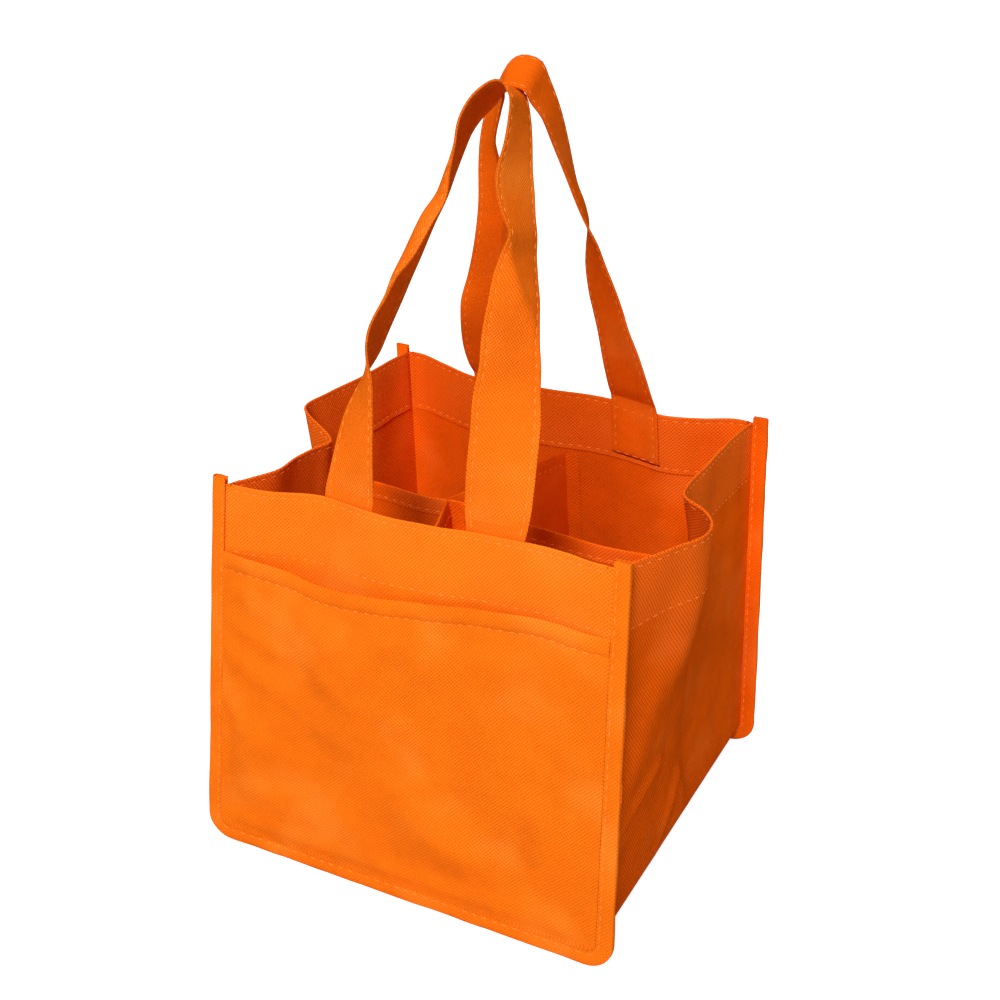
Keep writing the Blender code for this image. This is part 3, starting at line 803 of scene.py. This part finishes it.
def make_panel(side, name, cad_name, cloth):
    """The front or back panel, with its seam allowances and its folded hem."""
    edge = BODY_WIDTH / 2 + SEAM_ALLOWANCE
    hem_edge = BODY_WIDTH / 2 - HEM_INSET
    columns = [-edge] + spread(-BODY_WIDTH / 2, BODY_WIDTH / 2) + [edge]
    bottom = SEAM_FLANGE - SEAM_ALLOWANCE
    corner = rounded_corner(CORNER_RADIUS + SEAM_ALLOWANCE, steps=7)
    rows = [(bottom + rise, 0, inset) for rise, inset in corner]
    rows += [(z, 0, 0) for z in spread(CORNER_TOP, BODY_HEIGHT, marks=(HEM_LINE, TOP_LINE))]
    rows += [(z, depth, 0) for z, depth in body_hem()]

    def place(row, x):
        z, depth, inset = row
        x = x * (edge - inset) / edge
        if depth:
            x = math.copysign(min(abs(x), hem_edge), x)
        if depth == LAYER:
            z += (panel_hem(side, x) - HEM_LINE) * (BODY_HEIGHT - z) / HEM_STITCH
            depth -= panel_pull(side, x, z)
        elif not depth:
            depth = panel_pull(side, x, z)
        return inside(panel, side, x, z, depth)

    points = [[place(row, x) for x in columns] for row in rows]
    piece = grid_piece(name, points, cloth, flip=side < 0)
    sewn_piece(piece, cad_name)
    for height_of in (lambda x: TOP_LINE, lambda x: panel_hem(side, x)):
        sew_hem(panel, side, height_of, panel_pull, BODY_WIDTH / 2 - STITCH_MARGIN)


# Gusset strip

def seam_path(levels, corner_steps, base_step):
    """Down the left side, under the base and up the right: x, z, outward x and z."""
    path = [(-BODY_WIDTH / 2, z, -1, 0) for z in reversed(levels)]
    centre = BODY_WIDTH / 2 - CORNER_RADIUS
    for step in range(1, corner_steps + 1):
        angle = math.pi / 2 * step / corner_steps
        out_x, out_z = -math.cos(angle), -math.sin(angle)
        x, z = CORNER_RADIUS * out_x - centre, CORNER_TOP + CORNER_RADIUS * out_z
        path.append((x, z, out_x, out_z))
    path += [(x, SEAM_FLANGE, 0, -1) for x in spread(-centre, 0, base_step)[1:-1]]
    middle = [(0, SEAM_FLANGE, 0, -1)]
    return path + middle + [(-x, z, -out_x, out_z) for x, z, out_x, out_z in reversed(path)]


def side_pull(side, y, z):
    """How far the stitches pull the outer cloth of a side inwards."""
    top, low = z - TOP_LINE, z - HEM_LINE
    return pinch(top) + pinch(low) + gather(y, top, 41 + side) + gather(y, low, 43 + side)


def make_gusset():
    """One strip: the left hem and side, the base, and the right side and hem."""
    wall_y = BODY_DEPTH / 2 - LAYER
    levels = spread(CORNER_TOP, BODY_HEIGHT, marks=(HEM_LINE, TOP_LINE))
    hem = body_hem()
    rows = [(-BODY_WIDTH / 2, z, -1, 0, depth) for z, depth in reversed(hem)]
    rows += [(*row, 0) for row in seam_path(levels, corner_steps=7, base_step=0.0072)]
    rows += [(BODY_WIDTH / 2, z, 1, 0, depth) for z, depth in hem]
    half = 28
    crowding = 1.08
    shares = [math.copysign(abs(i / half) ** crowding, i) for i in range(-half, half + 1)]
    columns = [-2] + shares + [2]

    def hem_point(side, share, y, z, depth):
        reach = wall_y - HEM_INSET * (1 if abs(share) > 1 else 2)
        y = math.copysign(reach if abs(share) >= 1 else min(abs(y), reach), y)
        if depth == LAYER:
            depth -= side_pull(side, y, z)
        return inside(side_wall, side, y, z, depth)

    def place(number, share):
        x, z, out_x, out_z, depth = rows[number]
        side = -1 if number < len(rows) / 2 else 1
        crease = crease_y(side, z)
        y = crease + min(max(share, -1), 1) * (wall_y + (crease if share < 0 else -crease))
        if depth:
            return hem_point(side, share, y, z, depth)
        if abs(share) > 1:
            reach = SEAM_ALLOWANCE * ease((BODY_HEIGHT - z) / SLANT_HEIGHT + SLANT_TOP)
            return settle(x + out_x * reach, math.copysign(wall_y, share), z + out_z * reach)
        if out_z == 0:
            pull = side_pull(side, y, z) if abs(share) < 1 else 0
            return inside(side_wall, side, y, z, pull)
        return strip(side, x, y, z)

    points = [[place(i, share) for share in columns] for i in range(len(rows))]
    piece = grid_piece("gusset_cloth", points, side_shaded_cloth)
    sewn_piece(piece, "gusset_strip")
    for side in (-1, 1):
        for height in (TOP_LINE, HEM_LINE):
            sew_hem(side_wall, side, lambda y, z=height: z, side_pull, wall_y - STITCH_MARGIN)


# Binding tape

def make_binding(side, name, cad_name, cloth):
    """A tape folded over a seam, up both sides and along the base."""
    levels = spread(CORNER_TOP, BODY_HEIGHT + TAPE_OVERRUN, step=0.0028)
    path = seam_path(levels, corner_steps=9, base_step=0.0030)
    front = [(out, -1.0) for out in TAPE_FLANK]
    back = [(out, 2.0) for out in reversed(TAPE_FLANK)]
    section = [*front, *TAPE_TURN, *back]
    lengths = lengths_along(path, lambda a, b: math.dist(a[:2], b[:2]))

    def shape(row, column, lift=0.0):
        x, z, out_x, out_z = path[row]
        out, layers = section[column]
        flank = -1 if layers < 0.5 else 1
        along = lengths[row]
        beyond = out - TAPE_STITCH
        puff = TAPE_PUFF * ease(beyond / TAPE_RISE) * ease((TAPE_EDGE - out) / TAPE_FALL)
        puff += sway(TAPE_RIPPLE, along, out, 51 + side) * ease(beyond / TAPE_FALL)
        puff -= TAPE_PINCH * bump(beyond, NEAR_STITCH)
        on_flank = layers in (-1.0, 2.0)
        rise = (puff if on_flank else 0) + lift
        wander = sway(TAPE_WANDER, along, layers, 61 + side)
        out += wander if out > TAPE_EDGE - TAPE_RIM else WANDER_SHARE * wander
        y = side * (BODY_DEPTH / 2 - layers * LAYER) - side * flank * rise
        return settle(x + out_x * out, y, z + out_z * out)

    points = [[shape(i, j) for j in range(len(section))] for i in range(len(path))]
    piece = grid_piece(name, points, cloth, TAPE, flip=side < 0)
    sewn_piece(piece, cad_name)

    total = lengths[-1]
    stitched = TAPE_FLANK.index(TAPE_STITCH)
    for column in (stitched, len(section) - 1 - stitched):
        def line(s, lift, column=column):
            place = s * total
            row = 0
            while row < len(path) - 2 and lengths[row + 1] < place:
                row += 1
            f = (place - lengths[row]) / (lengths[row + 1] - lengths[row])
            height = lift + TAPE / 2
            return shape(row, column, height).lerp(shape(row + 1, column, height), f)
        sew("bag", line, total, start=0.004, end=0.996)


# Front pocket

def mouth_z(x):
    """Height of the pocket's mouth."""
    return POCKET_HEIGHT - smooth(MOUTH_DROP, x / BODY_WIDTH + 0.5) * BODY_HEIGHT


def pocket_relief(x, z):
    """Outward swell of the pocket: its lower ridge, sags, folds and the band at its mouth."""
    below = mouth_z(x) - z
    from_side = BODY_WIDTH / 2 - abs(x)
    edge = ease(from_side / SEAM_FADE)
    out = POCKET_RIDGE * bump(z - POCKET_RIDGE_Z, POCKET_RIDGE_WIDTH) * edge
    loose = edge * ease((z - POCKET_LOW) / OPEN_FADE) * ease((below - BAND) / SEAM_FADE)
    run, fall = SAG_SLOPE
    along, over = (run * x - fall * z) * SAG_STRETCH, fall * x + run * z
    out += POCKET_SAG * (wave(along, over, SAG_SIZE, 71) + SAG_LIFT) * loose
    out += sway(POCKET_RIPPLE, along, over, 75) * loose
    out += fold_ridge(POCKET_FOLDS, x, z) * ease(from_side / FOLD_FADE)
    aside = x - DENT_X + (below - DENT_BELOW) * DENT_LEAN
    out -= DENT * bump(aside, DENT_WIDTH) * bump(below - DENT_LEVEL, DENT_LENGTH) * edge
    out += BAND_PUFF * math.sin(math.pi * min(max(below / BAND, 0), 1))
    out -= BAND_PINCH * pinch(below - BAND)
    return out + gather(x, below - BAND, 73)


def pocket_point(x, z, depth):
    """A point of the pocket, a depth inside its outer face."""
    gape = smooth(MOUTH_GAPE, x / BODY_WIDTH + 0.5) * POCKET_GAPE * (z / POCKET_HEIGHT) ** 2
    return inside(panel, -1, x, z, depth - LAYER - gape - pocket_relief(x, z))


def blend_pocket(piece):
    """Bake the placement of a half of the pocket into its mesh."""
    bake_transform(piece)


def make_pocket(half, name):
    """The left (-1) or right (1) half of the pocket, with the folded band at its mouth."""
    columns = spread(-BODY_WIDTH / 2, 0) if half < 0 else spread(0, BODY_WIDTH / 2)
    rows = [("corner", row) for row in rounded_corner(CORNER_RADIUS, steps=6)]
    rows += [("wall", share) for share in spread(0, 1, step=0.024)[:-1]]
    band = [(below, 0.0) for below in BAND_ROWS] + [*MOUTH_FOLD]
    band += [(below, LAYER) for below in (*reversed(BAND_ROWS[1:]), BAND + BAND_END)]
    rows += [("below", row) for row in band]

    def place(row, x):
        kind, value = row
        if kind == "below":
            below, depth = value
            return pocket_point(x, mouth_z(x) - below, depth * BAND_LAYERS)
        if kind == "wall":
            z = CORNER_TOP + value * (mouth_z(x) - BAND_ROWS[0] - CORNER_TOP)
            return pocket_point(x, z, 0)
        rise, inset = value
        return pocket_point(x - x * inset / (BODY_WIDTH / 2), SEAM_FLANGE + rise, 0)

    points = [[place(row, x) for x in columns] for row in rows]
    across = flat_lengths(list(zip(*points)))
    middle = across[-1] if half < 0 else 0.0
    upward = flat_lengths([[place(row, 0.0)] for row in rows])
    lengths = ([u - middle for u in across], upward)
    piece = grid_piece(name, points, body_cloth, flip=True, lengths=lengths)
    blend_pocket(piece)
    reach = BODY_WIDTH / 2 - POCKET_MARGIN

    def line(s, lift):
        x = half * s * reach
        return pocket_point(x, mouth_z(x) - BAND, -CLOTH / 2 - lift)

    sew(name, line, reach)
    return piece


# Inner walls

def divider_end(side, z, along=0.0):
    """A point of the divider's tab, on the crease of a side or a length along it."""
    return inside(side_wall, side, crease_y(side, z) + CREASE_GAP + along, z, LOOSE_LAYER)


def between(share, reach):
    """0 at the sewn ends of an inner wall and 1 between them."""
    return ease(share / reach) * ease((1 - share) / reach)


def divider(_, share, z):
    """The wall from side to side, at a share of its width from the left."""
    point = divider_end(-1, z).lerp(divider_end(1, z), share)
    point.y += smooth(DIVIDER_WAVE, share) * BODY_DEPTH * level(z)
    point.y += sway(DIVIDER_SWAY, share * BODY_WIDTH, z, 81) * between(share, 0.1)
    return point


def web_front(side, z, along=0.0):
    """Where a web meets its panel, or a length along that panel."""
    return inside(panel, side, WEB_PANEL[side] * BODY_WIDTH * level(z) + along, z, LOOSE_LAYER)


def web_end(side, z, along=0.0):
    """Where a web meets the divider, or a length along it."""
    share = 0.5 + WEB_DIVIDER * level(z) + along / BODY_WIDTH
    return divider(0, share, z) + Vector((0, side * LOOSE_LAYER, 0))


def web(side, share, z):
    """The wall from a panel to the divider, at a share of its length from the panel."""
    point = web_front(side, z).lerp(web_end(side, z), share)
    point.x += sway(WEB_SWAY, share * BODY_DEPTH / 2, z, 91 + side) * between(share, 0.15)
    return point


def make_wall(name, cad_name, surface, side, length, ends, step, probe, margin, seed):
    """An inner wall with a tab at each end, its top folded over and stitched."""
    rows = wall_hem()
    columns = [None] + spread(0, 1, step) + [None]

    def at(share, z, depth, lift=0.0):
        along = share * length
        pull = pinch(z - WALL_STITCH) + gather(along, z - WALL_STITCH, seed)
        pulled = depth - pull if depth > WALL_LAYER / 2 else depth + pull
        return surface(side, share, z) + square_to(surface, side, share, z, probe) * (pulled + lift)

    def place(row, number):
        z, depth = row
        if columns[number] is None:
            end, end_side = ends[1 if number else 0]
            return end(end_side, z, HEM_TAB_WIDTH if depth else TAB_WIDTH)
        return at(columns[number], z, depth)

    points = [[place(row, j) for j in range(len(columns))] for row in rows]
    piece = grid_piece(name, points, inner_shaded_cloth)
    sewn_piece(piece, cad_name)
    for sign in (-1, 1):
        def line(s, lift, sign=sign):
            depth = 0.0 if sign < 0 else WALL_LAYER
            return at(margin + (1 - 2 * margin) * s, WALL_STITCH, depth, sign * (CLOTH / 2 + lift))
        sew("bag", line, length)


# Handles

def bend(a, curl, ridge, fold):
    """Across and height of a share of the strap's width, curled to an arc or folded at a ridge."""
    half = STRAP_WIDTH / 2
    if abs(fold) > 1:
        ridge = max(min(ridge, RIDGE_LIMIT), -RIDGE_LIMIT)
        near, far = half * (1 + ridge), half * (1 - ridge)
        chord = math.sqrt(near ** 2 + far ** 2 + 2 * near * far * math.cos(math.radians(fold)))
        foot = (near ** 2 - far ** 2 + chord ** 2) / (2 * chord)
        rise = math.copysign(math.sqrt(max(near ** 2 - foot ** 2, 0)), fold)
        if a < ridge:
            f = (a + 1) / (ridge + 1)
            return foot * f - chord / 2, rise * f
        f = (1 - a) / (1 - ridge)
        return chord / 2 - (chord - foot) * f, rise * f
    angle = math.radians(curl) / 2
    if abs(angle) < FLAT_CURL:
        return a * half, 0.0
    radius = half / angle
    return radius * math.sin(a * angle), radius * (math.cos(a * angle) - math.cos(angle))


def leg_point(side, leg, aside, z, depth):
    """A point of a sewn strap end inside its panel, aside from the middle of the strap."""
    return inside(panel, side, LEG_CENTRES[leg] + aside, z, depth)


class Handle:
    """One strap: sewn leg, loop and sewn leg. far_sign turns its width round for the right leg."""

    def __init__(self, side, stations, far_sign):
        self.side = side
        self.far_sign = far_sign
        rows = [self.leg_row(0, z, 1) for z in LEG_HEIGHTS]
        for x, y, z, turn, rise, *shape in stations:
            angle, lift = math.radians(turn), math.radians(rise)
            across = math.cos(angle) * math.cos(lift), -math.sin(angle) * math.cos(lift)
            bent = (*shape, 0, 0, 0)[:3]
            rows.append((*(Vector((x, y, z)) / 1000), *across, math.sin(lift), *bent))
        rows += [self.leg_row(1, z, far_sign) for z in reversed(LEG_HEIGHTS)]
        places = lengths_along(rows, lambda a, b: math.dist(a[:3], b[:3]))
        self.length = places[-1]
        self.tracks = [[(p, row[k]) for p, row in zip(places, rows)] for k in range(9)]
        self.sewn_end = places[len(LEG_HEIGHTS) - 1]

    def leg_row(self, leg, z, sign):
        """A sewn row: its middle, the direction of its width and no curl or fold."""
        half = STRAP_WIDTH / 2
        left, middle, right = [
            leg_point(self.side, leg, aside, z, STRAP_DEPTH) for aside in (-half, 0, half)
        ]
        return (*middle, *((right - left).normalized() * sign), 0, 0, 0)

    def read(self, s, first, last):
        return [smooth(self.tracks[k], s) for k in range(first, last)]

    def centre(self, s):
        return Vector(self.read(s, 0, 3))

    def free_point(self, s, a, height):
        """A point of the strap away from the panel, curled or folded along its length."""
        tangent = self.centre(s + TANGENT_PROBE) - self.centre(s - TANGENT_PROBE)
        width = Vector(self.read(s, 3, 6)).normalized()
        normal = tangent.cross(width).normalized()
        shape = self.read(s, 6, 9)
        across, up = bend(a, *shape)
        left = bend(max(a - BEND_PROBE, -1), *shape)
        right = bend(min(a + BEND_PROBE, 1), *shape)
        slope = Vector((right[0] - left[0], right[1] - left[1])).normalized()
        across -= slope.y * height
        up += slope.x * height
        return self.centre(s) + width * across + normal * up

    def point(self, s, a, height):
        """A point at length s and share a across, a height above the middle of the strap."""
        end = 1.1 * TANGENT_PROBE
        s = min(max(s, end), self.length - end)
        free = self.free_point(s, a, height)
        near = min(s, self.length - s)
        held = 1 - ease((near - self.sewn_end) / LIFT_OFF)
        if held <= 0:
            return free
        first = s < self.length / 2
        leg, sign = (0, 1) if first else (1, self.far_sign)
        face = self.side * sign * (1 if first else -1)
        z = min(self.centre(s).z, BODY_HEIGHT + RIM_CLEARANCE)
        depth = STRAP_DEPTH - END_DROP * (1 - ease(near / END_REACH))
        sewn = leg_point(self.side, leg, sign * a * STRAP_WIDTH / 2, z, depth + height * face)
        return free.lerp(sewn, held)


def strap_half(a):
    """Half the strap's thickness at a share across it: two layers, pressed at the stitches."""
    rim = math.sqrt(max(1 - max((abs(a) - 1 + STRAP_EDGE) / STRAP_EDGE, 0) ** 2, 0))
    body = STRAP / 2 + STRAP_SWELL * (1 - a * a)
    return (body - STRAP_PINCH * bump(abs(a) - STRAP_STITCH, STRAP_PINCH_SHARE)) * rim


def blend_strap(piece):
    """Bake the placement of a strap into its mesh."""
    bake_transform(piece)


def make_handle(side, stations, far_sign, name, cloth):
    """A strap of two layers with a line of stitches along each edge and across its sewn ends."""
    handle = Handle(side, stations, far_sign)
    across = [-a for a in HALF_SHARES] + [0, *reversed(HALF_SHARES)]
    ring = [(a, 1) for a in across] + [(a, -1) for a in reversed(across[1:-1])]
    rows = spread(0, handle.length, STRAP_STEP)
    vertices, uvs = [], []
    for s in rows:
        pressed = END_THIN + (1 - END_THIN) * ease(min(s, handle.length - s) / END_PRESS)
        for a, sign in ring:
            vertices.append(handle.point(s, a, sign * strap_half(a) * pressed))
            layer_u = 0.0 if sign > 0 else LOWER_LAYER_U
            uvs.append((layer_u + a * STRAP_WIDTH / 2, s))
    piece = write_mesh(name, vertices, tube_faces(0, len(rows), len(ring)), uvs, cloth)
    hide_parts(name + "_loop", name + "_end_left", name + "_end_right")
    blend_strap(piece)
    for a in (-STRAP_STITCH, STRAP_STITCH):
        for sign in (-1, 1):
            def line(s, lift, a=a, sign=sign):
                return handle.point(s * handle.length, a, sign * (strap_half(a) + lift))
            sew(name, line, handle.length, start=0.01, end=0.99)
    for leg in (0, 1):
        for z in CROSS_HEIGHTS:
            def cross(s, lift, leg=leg, z=z):
                depth = STRAP_DEPTH + STRAP / 2 + lift
                return leg_point(side, leg, (s - 0.5) * CROSS_WIDTH, z, depth)
            sew("bag", cross, CROSS_WIDTH)


def make_stitches():
    """One piece of thread for each body or soft piece that stitches are sewn to."""
    for place, (vertices, faces) in thread_parts.items():
        stitches = write_mesh(place + "_stitches", vertices, faces, None, thread)
        if place == "bag":
            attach(stitches, "bag")
        elif place.startswith("pocket"):
            blend_pocket(stitches)
        else:
            blend_strap(stitches)


# Stage, lights and camera

def make_floor():
    """A pale floor that the camera sees as white and that keeps the bag's shadow."""
    n = Nodes(bpy.data.materials.new("floor"))
    n.feed("Base Color", FLOOR_GREY)
    n.feed("Roughness", 0.9)
    n.feed("Specular IOR Level", 0.0)
    n.feed("Emission Color", WHITE)
    n.feed("Emission Strength", n.times(n.seen(), FLOOR_GLOW))
    corners = ((-1, -1), (1, -1), (1, 1), (-1, 1))
    points = [Vector((x * FLOOR_REACH, y * FLOOR_REACH, FLOOR_Z)) for x, y in corners]
    write_mesh("floor", points, [(0, 1, 2, 3)], None, n.owner)


def light_room():
    """Even light from all round, behind a white background."""
    world = bpy.context.scene.world or bpy.data.worlds.new("world")
    bpy.context.scene.world = world
    room = Nodes(world)
    room.feed("Color", WHITE)
    room.feed("Strength", room.math("ADD", room.times(room.seen(), 1 - ROOM_LIGHT), ROOM_LIGHT))


def direction(azimuth, elevation):
    """From the bag towards a viewer, with azimuth 0 straight before its front, in degrees."""
    az, el = math.radians(azimuth), math.radians(elevation)
    return Vector((math.sin(az) * math.cos(el), -math.cos(az) * math.cos(el), math.sin(el)))


def area_light(name, azimuth, elevation, size, power):
    """A soft round lamp that looks at the bag."""
    light = bpy.data.lights.new(name, "AREA")
    light.shape = "DISK"
    light.size = size
    light.energy = power
    lamp = bpy.data.objects.new(name, light)
    back = direction(azimuth, elevation)
    lamp.location = LIGHT_TARGET + back * LIGHT_DISTANCE
    lamp.rotation_euler = back.to_track_quat("Z", "Y").to_euler()
    bpy.context.scene.collection.objects.link(lamp)


def place_camera():
    """The camera at the photograph's angle, distance and roll."""
    data = bpy.data.cameras.new("camera")
    data.lens = 50
    data.sensor_width = 36
    data.clip_start = 0.01
    data.clip_end = 50
    camera = bpy.data.objects.new("camera", data)
    bpy.context.scene.collection.objects.link(camera)
    back = direction(AZIMUTH, ELEVATION)
    level_view = back.to_track_quat("Z", "Y").to_matrix().to_4x4()
    rolled = level_view @ Matrix.Rotation(math.radians(ROLL), 4, "Z")
    camera.matrix_world = Matrix.Translation(TARGET + back * DISTANCE) @ rolled
    bpy.context.scene.camera = camera


make_panel(-1, "front_panel_cloth", "front_panel", body_cloth)
make_panel(1, "back_panel_cloth", "back_panel", inner_shaded_cloth)
make_gusset()
make_binding(-1, "front_tape", "front_binding", front_tape_cloth)
make_binding(1, "back_tape", "back_binding", back_tape_shaded_cloth)
pocket_left = make_pocket(-1, "pocket_left")
make_pocket(1, "pocket_right")
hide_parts("front_pocket")
make_wall(
    "divider_cloth_wall", "cross_divider", divider, 0, BODY_WIDTH,
    ends=((divider_end, -1), (divider_end, 1)), step=0.0165, probe=0.004, margin=0.012, seed=83,
)
for side, cad_name in ((-1, "front_web"), (1, "back_web")):
    make_wall(
        cad_name + "_cloth", cad_name, web, side, BODY_DEPTH / 2,
        ends=((web_front, side), (web_end, side)), step=0.04, probe=0.01, margin=0.03, seed=93,
    )
make_handle(-1, FRONT_STATIONS, -1, "front_handle", front_strap_cloth)
make_handle(1, BACK_STATIONS, 1, "back_handle", back_strap_shaded_cloth)
make_stitches()

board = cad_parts["base_board"]
board.data.materials.clear()
board.data.materials.append(board_material())

make_floor()
light_room()
area_light("key", azimuth=13, elevation=40, size=1.1, power=123)
area_light("fill", azimuth=205, elevation=45, size=1.2, power=48)
place_camera()
bpy.context.scene.view_settings.view_transform = "Standard"
